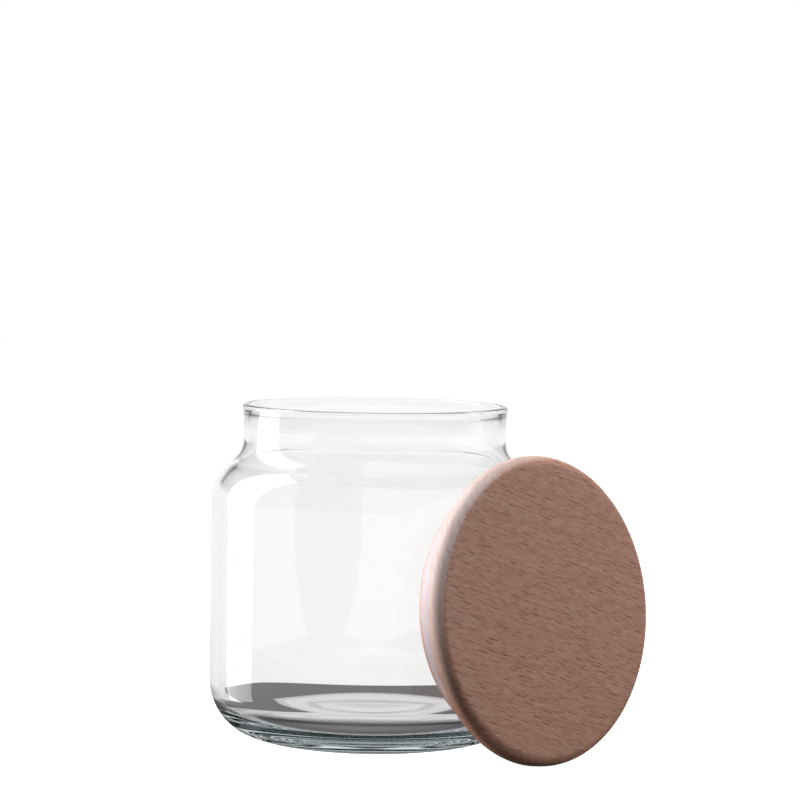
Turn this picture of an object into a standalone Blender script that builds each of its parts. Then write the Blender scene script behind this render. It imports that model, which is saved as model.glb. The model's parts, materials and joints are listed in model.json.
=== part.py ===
"""Squat clear glass jar with a turned beech lid and a silicone seal.

The lid is taken off. It stands on its edge on the table and leans on the jar.
Metres, +Z up. The origin is on the jar's axis, on the surface that it stands on.
"""
from math import acos, atan, cos, pi, radians, sin, sqrt, tan

import bmesh
import bpy
from mathutils import Matrix, Vector

# Glass body
body_radius = 0.0500
body_wall = 0.0025
jar_height = 0.1014
foot_corner_width = 0.0153
foot_corner_height = 0.0170
floor_edge_thickness = 0.0050
floor_slope = radians(4.0)
floor_corner_width = 0.0100
floor_corner_height = 0.0090

# Glass neck, from the top of the shoulder to the rim
neck_radius = 0.0403
neck_wall = 0.0020
neck_height = 0.0110
shoulder_radius = 0.0135
neck_fillet_radius = 0.0081

# Rounded rim bead and the gentle swell below it
bead_height = 0.0019
bead_swell = 0.00043
bead_inner_swell = 0.00010
bead_blend_height = 0.0036
bead_blend_angle = radians(-20.0)

# Wooden lid: the disc, and the plug that enters the neck
lid_radius = 0.0451
disc_thickness = 0.0050
disc_top_round = 0.0032
disc_edge_round = 0.0005
plug_depth = 0.0107
plug_clearance = 0.0006
plug_end_round = 0.0005
flange_thickness = 0.0015
groove_depth = 0.0030

# Silicone seal in the plug's groove
seal_height = 0.0052
seal_squeeze = 0.00025
seal_edge_round = 0.0004
seal_gap = 0.0003

# How the lid stands: turned towards the viewer, leaning back on the jar's wall
lid_turn = radians(43.9)
lid_lean = radians(7.8)
lid_sideways = 0.0038
lean_gap = 0.0003

# Facets
round_segments = 64
corner_steps = 6
dish_steps = 6
shoulder_steps = 5
bead_steps = 8
edge_steps = 4
weld_distance = 0.000001
smooth_angle = radians(32.0)

# Sizes that follow
inner_radius = body_radius - body_wall
neck_bore_radius = neck_radius - neck_wall
plug_radius = neck_bore_radius - plug_clearance
groove_radius = plug_radius - groove_depth
groove_floor_height = -plug_depth + flange_thickness
groove_roof_height = groove_floor_height + seal_height + 2 * seal_gap
seal_outer_radius = neck_bore_radius + seal_squeeze
seal_inner_radius = groove_radius + seal_gap
neck_foot_height = jar_height - neck_height
arc_reach = shoulder_radius + neck_fillet_radius
shoulder_turn = acos(1.0 - (body_radius - neck_radius) / arc_reach)
wall_top_height = neck_foot_height - arc_reach * sin(shoulder_turn)


def arc(centre, width, height, start, end, steps):
    """Points on an ellipse's arc in the (radius, height) plane, both ends included."""
    angles = [start + (end - start) * step / steps for step in range(steps + 1)]
    return [(centre[0] + width * cos(a), centre[1] + height * sin(a)) for a in angles]


def turned_mesh(name, profile):
    """Closed solid made by spinning a profile, listed from the top of its axis to the bottom."""
    mesh = bpy.data.meshes.new(name)
    shape = bmesh.new()
    points = [shape.verts.new((radius, 0.0, height)) for radius, height in profile]
    edges = [shape.edges.new(pair) for pair in zip(points, points[1:])]
    bmesh.ops.spin(shape, geom=points + edges, axis=(0.0, 0.0, 1.0), cent=(0.0, 0.0, 0.0),
                   angle=2 * pi, steps=round_segments, use_merge=True)
    bmesh.ops.remove_doubles(shape, verts=shape.verts, dist=weld_distance)
    bmesh.ops.recalc_face_normals(shape, faces=shape.faces)
    shape.to_mesh(mesh)
    shape.free()
    mesh.shade_smooth()
    mesh.set_sharp_from_angle(angle=smooth_angle)
    return mesh


def material(name, colour, roughness, metallic=0.0, transmission=0.0, ior=1.5):
    """A plain Principled material."""
    made = bpy.data.materials.new(name)
    made.use_nodes = True
    made.diffuse_color = colour
    shader = made.node_tree.nodes["Principled BSDF"]
    shader.inputs["Base Color"].default_value = colour
    shader.inputs["Roughness"].default_value = roughness
    shader.inputs["Metallic"].default_value = metallic
    shader.inputs["Transmission Weight"].default_value = transmission
    shader.inputs["IOR"].default_value = ior
    return made


def add_piece(name, mesh, finish, parent=None):
    """Links a named object that holds the mesh and its finish."""
    piece = bpy.data.objects.new(name, mesh)
    mesh.materials.append(finish)
    bpy.context.scene.collection.objects.link(piece)
    piece.parent = parent
    return piece


def jar_outside():
    """Outer profile of the glass, from the rim bead down to the middle of the underside."""
    bead_half_width = (bead_swell + neck_wall + bead_inner_swell) / 2
    bead_centre = (neck_radius + bead_swell - bead_half_width, jar_height - bead_height / 2)
    bead = arc(bead_centre, bead_half_width, bead_height / 2, pi, bead_blend_angle, bead_steps)
    fillet_centre = (neck_radius + neck_fillet_radius, neck_foot_height)
    fillet = arc(fillet_centre, neck_fillet_radius, neck_fillet_radius, pi, pi + shoulder_turn,
                 shoulder_steps)
    shoulder_centre = (body_radius - shoulder_radius, wall_top_height)
    shoulder = arc(shoulder_centre, shoulder_radius, shoulder_radius, shoulder_turn, 0.0,
                   shoulder_steps)
    foot_centre = (body_radius - foot_corner_width, foot_corner_height)
    foot = arc(foot_centre, foot_corner_width, foot_corner_height, 0.0, -pi / 2, corner_steps)
    neck_top = (neck_radius, jar_height - bead_blend_height)
    return bead + [neck_top] + fillet + shoulder[1:] + foot + [(0.0, 0.0)]


def jar_inside():
    """Inner profile of the glass, from the middle of the floor up to below the rim bead.

    The floor is a shallow dish that runs smoothly into its corner. Its middle is a small flat.
    """
    convex = shoulder_radius - body_wall
    concave = neck_fillet_radius + neck_wall
    turn = acos(1.0 - (inner_radius - neck_bore_radius) / (convex + concave))
    bore_foot = wall_top_height + (convex + concave) * sin(turn)
    corner_centre = (inner_radius - floor_corner_width, floor_edge_thickness + floor_corner_height)
    meeting = atan(tan(floor_slope) * floor_corner_width / floor_corner_height)
    corner = arc(corner_centre, floor_corner_width, floor_corner_height, meeting - pi / 2, 0.0,
                 corner_steps)
    dish_radius, dish_height = corner[0]
    dish_fall = dish_radius * tan(floor_slope) / 2
    dish = []
    for step in range(dish_steps):
        rise_share = (max(step, 1) / dish_steps) ** 2
        dish.append((dish_radius * step / dish_steps, dish_height - dish_fall * (1.0 - rise_share)))
    shoulder = arc((inner_radius - convex, wall_top_height), convex, convex, 0.0, turn,
                   shoulder_steps)
    fillet = arc((neck_bore_radius + concave, bore_foot), concave, concave, pi + turn, pi,
                 shoulder_steps)
    bore_top = (neck_bore_radius, jar_height - bead_blend_height)
    return dish + corner + shoulder + fillet[1:] + [bore_top]


def lid_profile():
    """Wooden lid, from the middle of its top face to the middle of the plug's end.

    Height 0 is the disc's underside, which seats on the rim.
    """
    top_centre = (lid_radius - disc_top_round, disc_thickness - disc_top_round)
    top_edge = arc(top_centre, disc_top_round, disc_top_round, pi / 2, 0.0, corner_steps)
    low_centre = (lid_radius - disc_edge_round, disc_edge_round)
    low_edge = arc(low_centre, disc_edge_round, disc_edge_round, 0.0, -pi / 2, edge_steps)
    end_centre = (plug_radius - plug_end_round, plug_end_round - plug_depth)
    plug_end = arc(end_centre, plug_end_round, plug_end_round, 0.0, -pi / 2, edge_steps)
    groove = [(plug_radius, groove_roof_height), (groove_radius, groove_roof_height),
              (groove_radius, groove_floor_height), (plug_radius, groove_floor_height)]
    middle_top = (0.0, disc_thickness)
    middle_end = (0.0, -plug_depth)
    return [middle_top] + top_edge + low_edge + [(plug_radius, 0.0)] + groove + plug_end + [middle_end]


def seal_profile():
    """Closed section of the silicone ring, with soft outer edges."""
    low = groove_floor_height + seal_gap
    high = low + seal_height
    middle = seal_outer_radius - seal_edge_round
    upper = arc((middle, high - seal_edge_round), seal_edge_round, seal_edge_round,
                pi / 2, 0.0, edge_steps)
    lower = arc((middle, low + seal_edge_round), seal_edge_round, seal_edge_round,
                0.0, -pi / 2, edge_steps)
    start = (seal_inner_radius, high)
    return [start] + upper + lower + [(seal_inner_radius, low), start]


def lid_pose():
    """Matrix that stands the lid on its edge on the table and leans its plug on the jar.

    The plug's end meets the shoulder's arc, or its upper edge meets the wall of a taller jar.
    """
    outwards = Vector((sin(lid_turn), -cos(lid_turn), 0.0))
    sideways = Vector((cos(lid_turn), sin(lid_turn), 0.0))
    face = outwards * cos(lid_lean) + Vector((0.0, 0.0, sin(lid_lean)))
    rise = face.cross(sideways)
    height = (lid_radius - disc_edge_round) * cos(lid_lean) + disc_edge_round * (1.0 - sin(lid_lean))
    plug_top = height - plug_depth * sin(lid_lean) + plug_radius * cos(lid_lean)
    contact = min(plug_top, wall_top_height + shoulder_radius * sin(lid_lean))
    climb = max(contact - wall_top_height, 0.0)
    wall_reach = body_radius - shoulder_radius + sqrt(shoulder_radius ** 2 - climb ** 2)
    plug_end_reach = wall_reach * cos(lid_lean) + contact * sin(lid_lean) + lean_gap
    distance = (plug_end_reach + plug_depth - height * sin(lid_lean)) / cos(lid_lean)
    place = outwards * distance + sideways * lid_sideways + Vector((0.0, 0.0, height))
    turn = Matrix((sideways, rise, face)).transposed().to_4x4()
    return Matrix.Translation(place) @ turn


for leftover in list(bpy.data.objects):
    bpy.data.objects.remove(leftover, do_unlink=True)

glass = material("clear_glass", (0.95, 0.97, 0.97, 1.0), 0.02, transmission=1.0, ior=1.5)
beech = material("beech", (0.55, 0.36, 0.29, 1.0), 0.55)
silicone = material("silicone", (0.86, 0.84, 0.88, 1.0), 0.4)

add_piece("glass_jar", turned_mesh("glass_jar", jar_outside()[::-1] + jar_inside()[::-1]), glass)

lid_seat = bpy.data.objects.new("lid_seat", None)
bpy.context.scene.collection.objects.link(lid_seat)
lid_seat.matrix_world = lid_pose()
add_piece("wood_lid", turned_mesh("wood_lid", lid_profile()), beech, lid_seat)
add_piece("seal_ring", turned_mesh("seal_ring", seal_profile()), silicone, lid_seat)
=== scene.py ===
"""Squat clear glass jar with its turned beech lid leaning on it, in soft studio light.

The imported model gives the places. Here the glass, the lid and the seal get fine meshes and
their finishes, and a floor, lamps and a camera show them. Metres, +Z up.
"""

import json
from math import acos, atan, cos, pi, radians, sin, tan

import bmesh
import bpy
from mathutils import Matrix, Vector


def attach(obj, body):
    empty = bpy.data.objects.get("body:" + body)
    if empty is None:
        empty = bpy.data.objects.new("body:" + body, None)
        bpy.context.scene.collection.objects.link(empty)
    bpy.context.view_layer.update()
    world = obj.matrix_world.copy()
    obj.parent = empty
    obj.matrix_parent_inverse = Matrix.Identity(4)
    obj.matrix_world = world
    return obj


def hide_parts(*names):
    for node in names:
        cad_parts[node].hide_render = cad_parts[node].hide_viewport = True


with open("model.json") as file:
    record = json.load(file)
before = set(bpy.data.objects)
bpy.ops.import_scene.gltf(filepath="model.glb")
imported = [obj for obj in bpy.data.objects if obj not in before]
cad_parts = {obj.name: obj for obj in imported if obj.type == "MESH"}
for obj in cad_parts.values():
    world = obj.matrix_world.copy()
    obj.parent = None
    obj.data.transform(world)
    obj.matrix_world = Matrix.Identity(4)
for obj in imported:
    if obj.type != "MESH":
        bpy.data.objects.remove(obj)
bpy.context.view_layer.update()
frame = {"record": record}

# Glass body
body_radius = 0.0500
body_wall = 0.0025
jar_height = 0.1014
foot_corner_width = 0.0153
foot_corner_height = 0.0170
floor_edge_thickness = 0.0050
floor_slope = radians(4.0)
floor_corner_width = 0.0100
floor_corner_height = 0.0090

# Glass neck and rim
neck_radius = 0.0403
neck_wall = 0.0020
neck_height = 0.0110
shoulder_radius = 0.0135
neck_fillet_radius = 0.0081
bead_height = 0.0019
bead_swell = 0.00043
bead_inner_swell = 0.00010
bead_blend_height = 0.0036
bead_blend_angle = radians(-20.0)

# Wooden lid
lid_radius = 0.0451
disc_thickness = 0.0050
disc_top_round = 0.0032
disc_edge_round = 0.0005
plug_depth = 0.0107
plug_clearance = 0.0006
plug_end_round = 0.0005
flange_thickness = 0.0015
groove_depth = 0.0030

# Seal
seal_height = 0.0052
seal_squeeze = 0.00025
seal_edge_round = 0.0004
seal_gap = 0.0003

# Plain white, for clear glass, glowing paper and the studio
white = (1.0, 1.0, 1.0, 1.0)

# Glass: its body tint and how quickly it deepens, and the tint that lamps take through it
glass_ior = 1.5
glass_tint = (0.79, 0.88, 0.90, 1.0)
glass_density = 14.0
glass_shadow = (0.93, 0.95, 0.95, 1.0)

# Beech: how the grain turns on the lid's face, and how the layers dip under it
grain_angle = radians(-18.5)
layer_tilt = radians(-22.0)

# Beech flecks: pairs are a length along the grain and a width across it
strong_spacing = (0.0056, 0.0011)
strong_size = (0.0025, 0.00018)
faint_spacing = (0.0034, 0.0007)
faint_size = (0.0018, 0.00013)
faint_seed = 37.3
faint_share = 0.55
fleck_shortest = 0.45
fleck_palest = 0.35
fleck_scatter = 0.7
fleck_sharpness = 4.0
row_shift = 0.62
fleck_colour = (0.24, 0.07, 0.035, 1.0)

# Beech layers, fibres and clouds: sizes along the grain, across it and through the board
layer_size = (0.022, 0.008, 0.00028)
cloud_size = (0.014, 0.006, 0.014)
fibre_size = (0.0040, 0.00024, 0.0010)
fine_detail = 2.0
soft_detail = 1.0
noise_roughness = 0.55
layer_share = 0.4
face_stops = ((0.40, (0.555, 0.270, 0.185, 1.0)), (0.50, (0.640, 0.340, 0.245, 1.0)),
              (0.60, (0.700, 0.405, 0.310, 1.0)))
cloud_start = 0.20
cloud_gain = 1.3
cloud_tint = (1.04, 0.98, 0.90, 1.0)

# Beech end grain on the disc's wall and underside, in a pale colour that is a painted sheen,
# strongest at the upper left of the lid
end_grain_sheen_stops = ((0.36, (0.60, 0.43, 0.38, 1.0)), (0.47, (0.73, 0.59, 0.55, 1.0)),
             (0.62, (0.78, 0.66, 0.63, 1.0)))
end_layer_share = 0.7
end_grain_sheen_share = 0.95
sheen_up = 0.64
sheen_left = 0.77
sheen_gain = 1.4
sheen_start = -0.35
sheen_creep = 0.0020
wall_fade = 0.0010
underside_fade = (0.0014, 0.0006)

# Beech surface
fleck_relief = 0.7
fibre_relief = 0.3
relief_strength = 0.25
relief_depth = 0.0002
wood_roughness = 0.40
wood_roughness_range = 0.12

# Silicone
silicone_colour = (0.69, 0.60, 0.64, 1.0)
silicone_roughness = 0.32
silicone_roughness_range = 0.12
silicone_glow_share = 0.35
silicone_glow_depth = 0.002
speckle_scale = 900.0

# Fineness of the turned meshes
glass_segments = 192
wood_segments = 192
arc_steps = 20
bead_steps = 20
edge_steps = 6
wall_step = 0.004
weld_distance = 0.000001
smooth_angle = radians(35.0)

# Camera, from the outlines of the object in the photograph
camera_distance = 0.8085
camera_height = 0.1517
camera_yaw = 0.0093
camera_pitch = 0.0603
camera_roll = 0.0150
sensor_width_mm = 36.0
focal_pixels = 2638.0
image_pixels = 800.0

# Floor: its tone under the camera, the white added to it, and its tone under other light
floor_size = 6.0
floor_drop = 0.0003
paper_tone = 0.55
paper_glow = 0.97
board_tone = 0.12

# Tabletop that the glass shows: half its depth and how that grows to the sides, up to a most,
# where it fades at the sides, and its greys at shares of the body's radius. These greys are
# painted shade under the middle of the jar and a painted ring of light under its base, on the
# table's own grey
table_depth = 0.0635
table_curve = 7.0
table_most = 0.096
table_fade = (0.075, 0.105)
table_shade_and_light_tones = ((0.0, 0.08), (0.50, 0.08), (0.70, 0.10), (0.80, 0.72), (0.96, 0.72), (1.0, 0.17))
table_tint = (1.0, 0.98, 1.01)

# What glass shows of the studio, by directions of length 1. Pairs are where a band starts and
# ends. It is white low down behind the object, and a little higher up in the middle there.
level_lift = (0.06, 0.16)
rear_back = (0.0, 0.35)
tall_lift = (0.12, 0.24)
tall_side = (0.35, 0.50)
room_dark = (0.03, 0.033, 0.036, 1.0)

# What shiny surfaces mirror of the studio, from the camera's side at 0 to behind the object at 1,
# and how it dims below the table
shine_tones = ((0.35, 0.20), (0.80, 0.35), (0.95, 0.80), (1.0, 1.0))
shine_lift = (-0.24, -0.13)
shine_below = 0.10

# Light from all round, and how often a ray may turn in the glass
ambient = 0.05
light_bounces = 32

# Lamps: azimuth in degrees from the camera's side round to its left, distance, height, width,
# how tall, radiance, and whether it shows only as a reflection
lamps = (
    ("left_softbox", 106.0, 0.90, 0.35, 0.57, 1.5, 3.9, True),
    ("right_softbox", -90.0, 0.90, 0.30, 0.60, 0.8, 0.6, True),
    ("left_key", 90.0, 0.80, 0.13, 0.30, 0.26, 22.5, False),
    ("top_key", 80.0, 0.35, 0.95, 0.60, 0.6, 8.8, False),
    ("right_fill", -92.0, 0.90, 0.45, 0.60, 0.8, 3.2, False),
)

# Sizes that follow
inner_radius = body_radius - body_wall
neck_bore_radius = neck_radius - neck_wall
plug_radius = neck_bore_radius - plug_clearance
groove_radius = plug_radius - groove_depth
groove_floor_height = -plug_depth + flange_thickness
groove_roof_height = groove_floor_height + seal_height + 2 * seal_gap
seal_outer_radius = neck_bore_radius + seal_squeeze
seal_inner_radius = groove_radius + seal_gap
neck_foot_height = jar_height - neck_height
arc_reach = shoulder_radius + neck_fillet_radius
shoulder_turn = acos(1.0 - (body_radius - neck_radius) / arc_reach)
wall_top_height = neck_foot_height - arc_reach * sin(shoulder_turn)
lamp_aim_height = jar_height / 2


class Value:
    """A shader socket that takes part in Python sums, which add Math nodes."""

    def __init__(self, tree, socket):
        self.tree = tree
        self.socket = socket

    def also(self, output):
        """Another output of the same node."""
        return Value(self.tree, self.socket.node.outputs[output])

    def maths(self, operation, *numbers, clamp=False):
        return add_node(self.tree, "ShaderNodeMath", {"operation": operation, "use_clamp": clamp},
                        dict(enumerate(numbers)))

    def __add__(self, other):
        return self.maths("ADD", self, other)

    __radd__ = __add__

    def __mul__(self, other):
        return self.maths("MULTIPLY", self, other)

    __rmul__ = __mul__

    def __sub__(self, other):
        return self.maths("SUBTRACT", self, other)

    def __rsub__(self, other):
        return self.maths("SUBTRACT", other, self)

    def __truediv__(self, other):
        return self.maths("DIVIDE", self, other)

    def __rtruediv__(self, other):
        return self.maths("DIVIDE", other, self)


def add_node(tree, kind, settings, inputs, output=0):
    """Adds a node, sets it, fills its sockets with numbers or links, and returns an output.

    A node that ends a tree has no output and returns nothing.
    """
    node = tree.nodes.new(kind)
    for name, setting in settings.items():
        if name == "stops":
            fill_ramp(node.color_ramp, setting)
        else:
            setattr(node, name, setting)
    for key, given in inputs.items():
        if isinstance(given, Value):
            tree.links.new(given.socket, node.inputs[key])
        else:
            node.inputs[key].default_value = given
    return Value(tree, node.outputs[output]) if node.outputs else None


def fill_ramp(ramp, stops):
    """Gives a colour ramp its stops, each a place and a colour."""
    while len(ramp.elements) < len(stops):
        ramp.elements.new(1.0)
    for element, (position, colour) in zip(ramp.elements, stops):
        element.position = position
        element.color = colour


def grey(tone, tint=(1.0, 1.0, 1.0)):
    """An opaque colour of one tone, perhaps faintly tinted."""
    return (*(share * tone for share in tint), 1.0)


def band(tree, across, limits, first, last):
    """Runs from the first number to the last as a value crosses a pair of limits."""
    return add_node(tree, "ShaderNodeMapRange", {}, {
        0: across, 1: limits[0], 2: limits[1], 3: first, 4: last})


def new_material(name):
    """An empty node material and its tree."""
    made = bpy.data.materials.new(name)
    made.use_nodes = True
    made.node_tree.nodes.clear()
    return made, made.node_tree


def arc(centre, width, height, start, end, steps):
    """Points on an ellipse's arc in the (radius, height) plane, both ends included."""
    angles = [start + (end - start) * step / steps for step in range(steps + 1)]
    return [(centre[0] + width * cos(a), centre[1] + height * sin(a)) for a in angles]


def run(start, end, step):
    """Points on a straight stretch, without its ends, about a step apart."""
    length = (Vector(end) - Vector(start)).length
    count = max(int(length / step), 1)
    return [tuple(Vector(start).lerp(Vector(end), n / count)) for n in range(1, count)]


def turned(name, profile, segments, place=None):
    """A closed solid spun from a profile that is listed from the top of its axis to the bottom."""
    shape = bmesh.new()
    points = [shape.verts.new((radius, 0.0, height)) for radius, height in profile]
    edges = [shape.edges.new(pair) for pair in zip(points, points[1:])]
    bmesh.ops.spin(shape, geom=points + edges, axis=(0.0, 0.0, 1.0), cent=(0.0, 0.0, 0.0),
                   angle=2 * pi, steps=segments, use_merge=True)
    bmesh.ops.remove_doubles(shape, verts=shape.verts, dist=weld_distance)
    bmesh.ops.recalc_face_normals(shape, faces=shape.faces)
    if place:
        bmesh.ops.transform(shape, matrix=place, verts=shape.verts)
    mesh = bpy.data.meshes.new(name)
    shape.to_mesh(mesh)
    shape.free()
    mesh.shade_smooth()
    mesh.set_sharp_from_angle(angle=smooth_angle)
    piece = bpy.data.objects.new(name, mesh)
    bpy.context.scene.collection.objects.link(piece)
    return piece


def jar_profile():
    """The glass wall's section, from the middle of the floor up, over the rim and down outside."""
    convex = shoulder_radius - body_wall
    concave = neck_fillet_radius + neck_wall
    turn = acos(1.0 - (inner_radius - neck_bore_radius) / (convex + concave))
    bore_foot = wall_top_height + (convex + concave) * sin(turn)
    corner_centre = (inner_radius - floor_corner_width, floor_edge_thickness + floor_corner_height)
    meeting = atan(tan(floor_slope) * floor_corner_width / floor_corner_height)
    corner = arc(corner_centre, floor_corner_width, floor_corner_height, meeting - pi / 2, 0.0,
                 arc_steps)
    dish_radius, dish_height = corner[0]
    dish_fall = dish_radius * tan(floor_slope) / 2
    dish = [(dish_radius * n / arc_steps, dish_height - dish_fall * (1.0 - (n / arc_steps) ** 2))
            for n in range(arc_steps)]
    inner_shoulder = arc((inner_radius - convex, wall_top_height), convex, convex, 0.0, turn,
                         arc_steps)
    inner_fillet = arc((neck_bore_radius + concave, bore_foot), concave, concave, pi + turn, pi,
                       arc_steps)
    bore_top = (neck_bore_radius, jar_height - bead_blend_height)
    bead_half_width = (bead_swell + neck_wall + bead_inner_swell) / 2
    bead_centre = (neck_radius + bead_swell - bead_half_width, jar_height - bead_height / 2)
    bead = arc(bead_centre, bead_half_width, bead_height / 2, pi, bead_blend_angle, bead_steps)
    neck_top = (neck_radius, jar_height - bead_blend_height)
    fillet = arc((neck_radius + neck_fillet_radius, neck_foot_height), neck_fillet_radius,
                 neck_fillet_radius, pi, pi + shoulder_turn, arc_steps)
    shoulder = arc((body_radius - shoulder_radius, wall_top_height), shoulder_radius,
                   shoulder_radius, shoulder_turn, 0.0, arc_steps)
    foot_centre = (body_radius - foot_corner_width, foot_corner_height)
    foot = arc(foot_centre, foot_corner_width, foot_corner_height, 0.0, -pi / 2, arc_steps)
    stretches = [dish, corner, inner_shoulder, inner_fillet[1:], [bore_top], bead,
                 [neck_top], fillet, shoulder[1:], foot, [(0.0, 0.0)]]
    return joined(stretches)[::-1]


def joined(stretches):
    """One outline of several stretches, with points along the straight runs between them."""
    outline = list(stretches[0])
    for stretch in stretches[1:]:
        outline += run(outline[-1], stretch[0], wall_step) + list(stretch)
    return outline


def lid_profile():
    """The wooden lid's section, from the middle of its top face to the middle of the plug's end."""
    top_centre = (lid_radius - disc_top_round, disc_thickness - disc_top_round)
    top_edge = arc(top_centre, disc_top_round, disc_top_round, pi / 2, 0.0, arc_steps)
    low_centre = (lid_radius - disc_edge_round, disc_edge_round)
    low_edge = arc(low_centre, disc_edge_round, disc_edge_round, 0.0, -pi / 2, edge_steps)
    end_centre = (plug_radius - plug_end_round, plug_end_round - plug_depth)
    plug_end = arc(end_centre, plug_end_round, plug_end_round, 0.0, -pi / 2, edge_steps)
    groove = [(plug_radius, groove_roof_height), (groove_radius, groove_roof_height),
              (groove_radius, groove_floor_height), (plug_radius, groove_floor_height)]
    middle_top = (0.0, disc_thickness)
    middle_end = (0.0, -plug_depth)
    return joined([[middle_top], top_edge, low_edge, [(plug_radius, 0.0)], groove, plug_end,
                   [middle_end]])


def seal_profile():
    """Closed section of the silicone ring, with soft outer edges."""
    low = groove_floor_height + seal_gap
    high = low + seal_height
    middle = seal_outer_radius - seal_edge_round
    upper = arc((middle, high - seal_edge_round), seal_edge_round, seal_edge_round,
                pi / 2, 0.0, edge_steps)
    lower = arc((middle, low + seal_edge_round), seal_edge_round, seal_edge_round,
                0.0, -pi / 2, edge_steps)
    start = (seal_inner_radius, high)
    return [start] + upper + lower + [(seal_inner_radius, low), start]


def lid_place():
    """Matrix from the lid's own frame, seat at 0 and face along +Z, to where the model holds it."""
    mount = next(m for m in frame["record"]["mounts"] if m["name"] == "lid_face")
    face = Vector(mount["axis"]).normalized()
    sideways = Vector((0.0, 0.0, 1.0)).cross(face).normalized()
    rise = face.cross(sideways)
    seat = Vector(mount["pos_m"]) - face * disc_thickness
    return Matrix.Translation(seat) @ Matrix((sideways, rise, face)).transposed().to_4x4()


def glass_material():
    """Clear glass, faintly green where it is thick. Lamps shine through it."""
    made, tree = new_material("clear_glass")
    glass = add_node(tree, "ShaderNodeBsdfPrincipled", {}, {
        "Base Color": white, "Roughness": 0.0, "IOR": glass_ior, "Transmission Weight": 1.0})
    clear = add_node(tree, "ShaderNodeBsdfTransparent", {}, {0: glass_shadow})
    shadow = add_node(tree, "ShaderNodeLightPath", {}, {}, "Is Shadow Ray")
    surface = add_node(tree, "ShaderNodeMixShader", {}, {
        0: shadow.maths("MAXIMUM", shadow, shadow.also("Is Diffuse Ray")), 1: glass, 2: clear})
    tint = add_node(tree, "ShaderNodeVolumeAbsorption", {}, {
        "Color": glass_tint, "Density": glass_density})
    add_node(tree, "ShaderNodeOutputMaterial", {}, {"Surface": surface, "Volume": tint})
    return made


def seen_from(tree, matrix):
    """Object coordinates as a frame on the lid sees them."""
    where = add_node(tree, "ShaderNodeTexCoord", {}, {}, "Object")
    return add_node(tree, "ShaderNodeMapping", {"vector_type": "TEXTURE"}, {
        "Vector": where, "Location": matrix.translation, "Rotation": matrix.to_euler()})


def vector_maths(tree, operation, first, second):
    """A vector worked out from two vectors."""
    return add_node(tree, "ShaderNodeVectorMath", {"operation": operation}, {0: first, 1: second})


def length_of(tree, vector):
    """How long a vector is."""
    return add_node(tree, "ShaderNodeVectorMath", {"operation": "LENGTH"}, {0: vector}, "Value")


def noise(tree, vector, size, detail):
    """Noise with lumps of a given size along each axis."""
    return add_node(tree, "ShaderNodeTexNoise", {}, {
        "Vector": vector_maths(tree, "DIVIDE", vector, size), "Scale": 1.0, "Detail": detail,
        "Roughness": noise_roughness})


def flecks(tree, vector, spacing, size, seed):
    """Lens-shaped dashes, one to a cell, of random length and darkness."""
    along = add_node(tree, "ShaderNodeSeparateXYZ", {}, {0: vector}, "X")
    across = along.also("Y") / spacing[1]
    cells = add_node(tree, "ShaderNodeCombineXYZ", {}, {
        0: along / spacing[0] + row_shift * across + seed, 1: across + seed})
    middle = add_node(tree, "ShaderNodeTexVoronoi", {"voronoi_dimensions": "2D"}, {
        "Vector": cells, "Scale": 1.0, "Randomness": fleck_scatter}, "Position")
    shape = vector_maths(tree, "MULTIPLY", vector_maths(tree, "SUBTRACT", cells, middle),
                         (spacing[0] / size[0], spacing[1] / size[1], 0.0))
    length = add_node(tree, "ShaderNodeSeparateColor", {}, {0: middle.also("Color")}, "Red")
    near = (fleck_shortest + (1.0 - fleck_shortest) * length) - length_of(tree, shape)
    strength = fleck_palest + (1.0 - fleck_palest) * length.also("Green")
    return near.maths("MULTIPLY", near, fleck_sharpness, clamp=True) * strength


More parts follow.
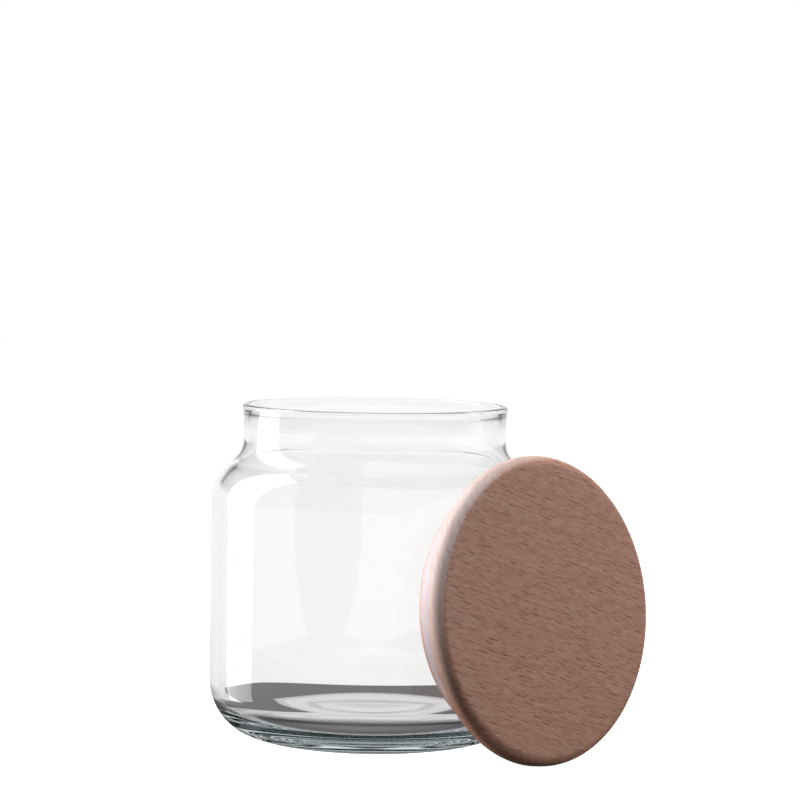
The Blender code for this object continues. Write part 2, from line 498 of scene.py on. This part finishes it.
def beech_material(lid_matrix):
    """Fine sanded beech: growth layers, fibres and the short dark flecks of its rays.

    The disc's wall and underside are smooth end grain. Their pale colour, strongest at the upper
    left of the lid, is a painted sheen.
    """
    made, tree = new_material("beech")
    lid = seen_from(tree, lid_matrix)
    grain_frame = lid_matrix @ Matrix.Rotation(grain_angle, 4, "Z")
    grain = seen_from(tree, grain_frame)
    board = seen_from(tree, grain_frame @ Matrix.Rotation(layer_tilt, 4, "X"))
    layers = noise(tree, board, layer_size, fine_detail)
    clouds = noise(tree, grain, cloud_size, soft_detail)
    fibres = noise(tree, grain, fibre_size, fine_detail)
    strong = flecks(tree, grain, strong_spacing, strong_size, 0.0)
    faint = flecks(tree, grain, faint_spacing, faint_size, faint_seed)
    dark = strong.maths("MAXIMUM", strong, faint_share * faint)

    face = add_node(tree, "ShaderNodeValToRGB", {"stops": face_stops}, {
        0: layer_share * layers + (1.0 - layer_share) * fibres})
    cloudy = clouds.maths("MULTIPLY", clouds - cloud_start, cloud_gain, clamp=True)
    warm = add_node(tree, "ShaderNodeMix", {"data_type": "RGBA", "blend_type": "MULTIPLY"}, {
        0: cloudy, 6: face, 7: cloud_tint}, 2)

    radius = length_of(tree, vector_maths(tree, "MULTIPLY", lid, (1.0, 1.0, 0.0)))
    right = add_node(tree, "ShaderNodeSeparateXYZ", {}, {0: lid}, "X")
    up = right.also("Y")
    out = right.also("Z")
    # Painted sheen: the rim takes its pale colour towards the upper left of the lid, where the
    # light falls
    upper_left = (sheen_up * up - sheen_left * right) / lid_radius
    painted_sheen = upper_left.maths("MULTIPLY_ADD", upper_left, sheen_gain, sheen_start, clamp=True)
    wall = band(tree, radius + sheen_creep * painted_sheen, (lid_radius - wall_fade, lid_radius), 0.0, 1.0)
    outer = band(tree, radius, (plug_radius - underside_fade[0], plug_radius - underside_fade[1]),
                 0.0, 1.0)
    underside = outer * out.maths("LESS_THAN", out, disc_edge_round)
    rim = wall.maths("MAXIMUM", wall, underside)
    end_grain_sheen = add_node(tree, "ShaderNodeValToRGB", {"stops": end_grain_sheen_stops}, {
        0: end_layer_share * layers + (1.0 - end_layer_share) * fibres})

    # The pale end-grain colour mixed in here is a painted sheen
    wood_and_sheen = add_node(tree, "ShaderNodeMix", {"data_type": "RGBA"}, {
        0: end_grain_sheen_share * rim * painted_sheen, 6: warm, 7: end_grain_sheen}, 2)
    colour = add_node(tree, "ShaderNodeMix", {"data_type": "RGBA"}, {
        0: dark * (1.0 - rim), 6: wood_and_sheen, 7: fleck_colour}, 2)
    relief = add_node(tree, "ShaderNodeBump", {}, {
        "Height": 1.0 - fleck_relief * dark - fibre_relief * fibres,
        "Strength": relief_strength, "Distance": relief_depth})
    surface = add_node(tree, "ShaderNodeBsdfPrincipled", {}, {
        "Base Color": colour, "Roughness": wood_roughness + wood_roughness_range * fibres,
        "Normal": relief})
    add_node(tree, "ShaderNodeOutputMaterial", {}, {"Surface": surface})
    return made


def silicone_material():
    """Pale translucent silicone with a soft sheen."""
    made, tree = new_material("silicone")
    where = add_node(tree, "ShaderNodeTexCoord", {}, {}, "Object")
    speckle = add_node(tree, "ShaderNodeTexNoise", {}, {
        "Vector": where, "Scale": speckle_scale, "Detail": fine_detail})
    surface = add_node(tree, "ShaderNodeBsdfPrincipled", {}, {
        "Base Color": silicone_colour,
        "Roughness": silicone_roughness + silicone_roughness_range * speckle,
        "Subsurface Weight": silicone_glow_share, "Subsurface Scale": silicone_glow_depth})
    add_node(tree, "ShaderNodeOutputMaterial", {}, {"Surface": surface})
    return made


def floor_material():
    """White to the camera, with the object's shadow. Glass shows a grey tabletop on white, with
    painted shade and a painted ring of light under the jar.
    """
    made, tree = new_material("floor")
    camera = add_node(tree, "ShaderNodeLightPath", {}, {}, "Is Camera Ray")
    where = add_node(tree, "ShaderNodeTexCoord", {}, {}, "Object")
    across = add_node(tree, "ShaderNodeSeparateXYZ", {}, {0: where}, "X")
    along = across.also("Y")
    side = across.maths("ABSOLUTE", across)
    wide = band(tree, side, table_fade, 0.0, 1.0)
    half_depth = table_depth + table_curve * side * side
    deep = along.maths("ABSOLUTE", along / half_depth.maths("MINIMUM", half_depth, table_most))
    beyond = wide.maths("MAXIMUM", wide, deep.maths("GREATER_THAN", deep, 1.0))
    # Painted shade under the middle of the jar and a painted ring of light nearer its edge
    shade_and_light_greys = add_node(tree, "ShaderNodeValToRGB", {
        "stops": [(share, grey(tone, table_tint)) for share, tone in table_shade_and_light_tones]}, {
        0: length_of(tree, where) / body_radius})
    tabletop_with_shade_and_light = add_node(tree, "ShaderNodeEmission", {}, {0: shade_and_light_greys, 1: 1.0})
    surroundings = add_node(tree, "ShaderNodeEmission", {}, {0: white, 1: 1.0})
    shown = add_node(tree, "ShaderNodeMixShader", {}, {0: beyond, 1: tabletop_with_shade_and_light, 2: surroundings})
    paper = add_node(tree, "ShaderNodeBsdfDiffuse", {}, {0: grey(paper_tone)})
    glow = add_node(tree, "ShaderNodeEmission", {}, {0: white, 1: paper_glow})
    direct = add_node(tree, "ShaderNodeAddShader", {}, {0: paper, 1: glow})
    board = add_node(tree, "ShaderNodeBsdfDiffuse", {}, {0: grey(board_tone)})
    lit = add_node(tree, "ShaderNodeMixShader", {}, {0: camera, 1: board, 2: direct})
    surface = add_node(tree, "ShaderNodeMixShader", {}, {
        0: camera.also("Is Transmission Ray"), 1: lit, 2: shown})
    add_node(tree, "ShaderNodeOutputMaterial", {}, {"Surface": surface})
    return made


def add_floor():
    """Large floor just under the object."""
    shape = bmesh.new()
    bmesh.ops.create_grid(shape, x_segments=1, y_segments=1, size=floor_size / 2,
                          matrix=Matrix.Translation((0.0, 0.0, -floor_drop)))
    mesh = bpy.data.meshes.new("floor")
    shape.to_mesh(mesh)
    shape.free()
    floor = bpy.data.objects.new("floor", mesh)
    bpy.context.scene.collection.objects.link(floor)
    mesh.materials.append(floor_material())
    floor.visible_glossy = False


def add_softbox(name, azimuth, distance, height, width, tall, radiance, mirrored):
    """A rectangular lamp that faces the object. Its own shape never shows through the glass."""
    lamp = bpy.data.lights.new(name, "AREA")
    lamp.shape = "RECTANGLE"
    lamp.size = width
    lamp.size_y = tall
    lamp.energy = radiance * pi * width * tall
    holder = bpy.data.objects.new(name, lamp)
    bpy.context.scene.collection.objects.link(holder)
    turn = radians(azimuth)
    holder.location = (-sin(turn) * distance, -cos(turn) * distance, height)
    aim = Vector((0.0, 0.0, lamp_aim_height)) - holder.location
    holder.rotation_euler = aim.to_track_quat("-Z", "Y").to_euler()
    holder.visible_camera = False
    holder.visible_diffuse = not mirrored
    holder.visible_glossy = mirrored
    holder.visible_transmission = False


def set_world():
    """White to the camera and through glass near the horizon, dim elsewhere."""
    world = bpy.data.worlds.new("studio")
    world.use_nodes = True
    bpy.context.scene.world = world
    tree = world.node_tree
    tree.nodes.clear()
    camera = add_node(tree, "ShaderNodeLightPath", {}, {}, "Is Camera Ray")
    where = add_node(tree, "ShaderNodeTexCoord", {}, {}, "Generated")
    side = add_node(tree, "ShaderNodeSeparateXYZ", {}, {0: where}, "X")
    back = side.also("Y")
    lift = side.also("Z")
    level = band(tree, lift, level_lift, 1.0, 0.0)
    rear = band(tree, back, rear_back, 0.0, 1.0)
    tall = band(tree, lift, tall_lift, 1.0, 0.0)
    middle = band(tree, side.maths("ABSOLUTE", side), tall_side, 1.0, 0.0)
    ahead = back.maths("GREATER_THAN", back, 0.0)
    white_share = level.maths("MAXIMUM", level * rear, tall * middle * ahead)
    room = add_node(tree, "ShaderNodeMix", {"data_type": "RGBA"}, {
        0: white_share, 6: room_dark, 7: white}, 2)
    mirror = add_node(tree, "ShaderNodeValToRGB", {
        "stops": [(share, grey(tone)) for share, tone in shine_tones]}, {0: 0.5 * back + 0.5})
    dim = add_node(tree, "ShaderNodeBackground", {}, {0: white, 1: ambient})
    shine = add_node(tree, "ShaderNodeBackground", {}, {
        0: mirror, 1: band(tree, lift, shine_lift, shine_below, 1.0)})
    shown = add_node(tree, "ShaderNodeBackground", {}, {0: room, 1: 1.0})
    plain = add_node(tree, "ShaderNodeBackground", {}, {0: white, 1: 1.0})
    glossy = add_node(tree, "ShaderNodeMixShader", {}, {
        0: camera.also("Is Glossy Ray"), 1: dim, 2: shine})
    glassy = add_node(tree, "ShaderNodeMixShader", {}, {
        0: camera.also("Is Transmission Ray"), 1: glossy, 2: shown})
    surface = add_node(tree, "ShaderNodeMixShader", {}, {0: camera, 1: glassy, 2: plain})
    add_node(tree, "ShaderNodeOutputWorld", {}, {"Surface": surface})


def add_camera():
    """The photograph's camera, as fitted to the object's outlines."""
    lens = bpy.data.cameras.new("camera")
    lens.sensor_width = sensor_width_mm
    lens.lens = sensor_width_mm * focal_pixels / image_pixels
    camera = bpy.data.objects.new("camera", lens)
    bpy.context.scene.collection.objects.link(camera)
    forward = Vector((sin(camera_yaw) * cos(camera_pitch), cos(camera_yaw) * cos(camera_pitch),
                      -sin(camera_pitch)))
    level = Vector((cos(camera_yaw), -sin(camera_yaw), 0.0))
    below = forward.cross(level)
    right = cos(camera_roll) * level - sin(camera_roll) * below
    down = sin(camera_roll) * level + cos(camera_roll) * below
    turn = Matrix((right, -down, -forward)).transposed().to_4x4()
    camera.matrix_world = Matrix.Translation((0.0, -camera_distance, camera_height)) @ turn
    bpy.context.scene.camera = camera


add_camera()
lid_matrix = lid_place()
jar_glass = turned("jar_glass", jar_profile(), glass_segments)
lid_beech = turned("lid_beech", lid_profile(), wood_segments, lid_matrix)
seal_silicone = turned("seal_silicone", seal_profile(), wood_segments, lid_matrix)
for piece, finish, body, node, slot in (
        (jar_glass, glass_material(), "jar", "glass_jar", "clear_glass"),
        (lid_beech, beech_material(lid_matrix), "lid", "wood_lid", "beech"),
        (seal_silicone, silicone_material(), "lid", "seal_ring", "silicone")):
    piece.data.materials.append(finish)
    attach(piece, body)
    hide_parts(node)

add_floor()
for lamp_facts in lamps:
    add_softbox(*lamp_facts)
set_world()
bpy.context.scene.view_settings.view_transform = "Standard"
bpy.context.scene.cycles.max_bounces = light_bounces
bpy.context.scene.cycles.glossy_bounces = light_bounces
bpy.context.scene.cycles.transmission_bounces = light_bounces
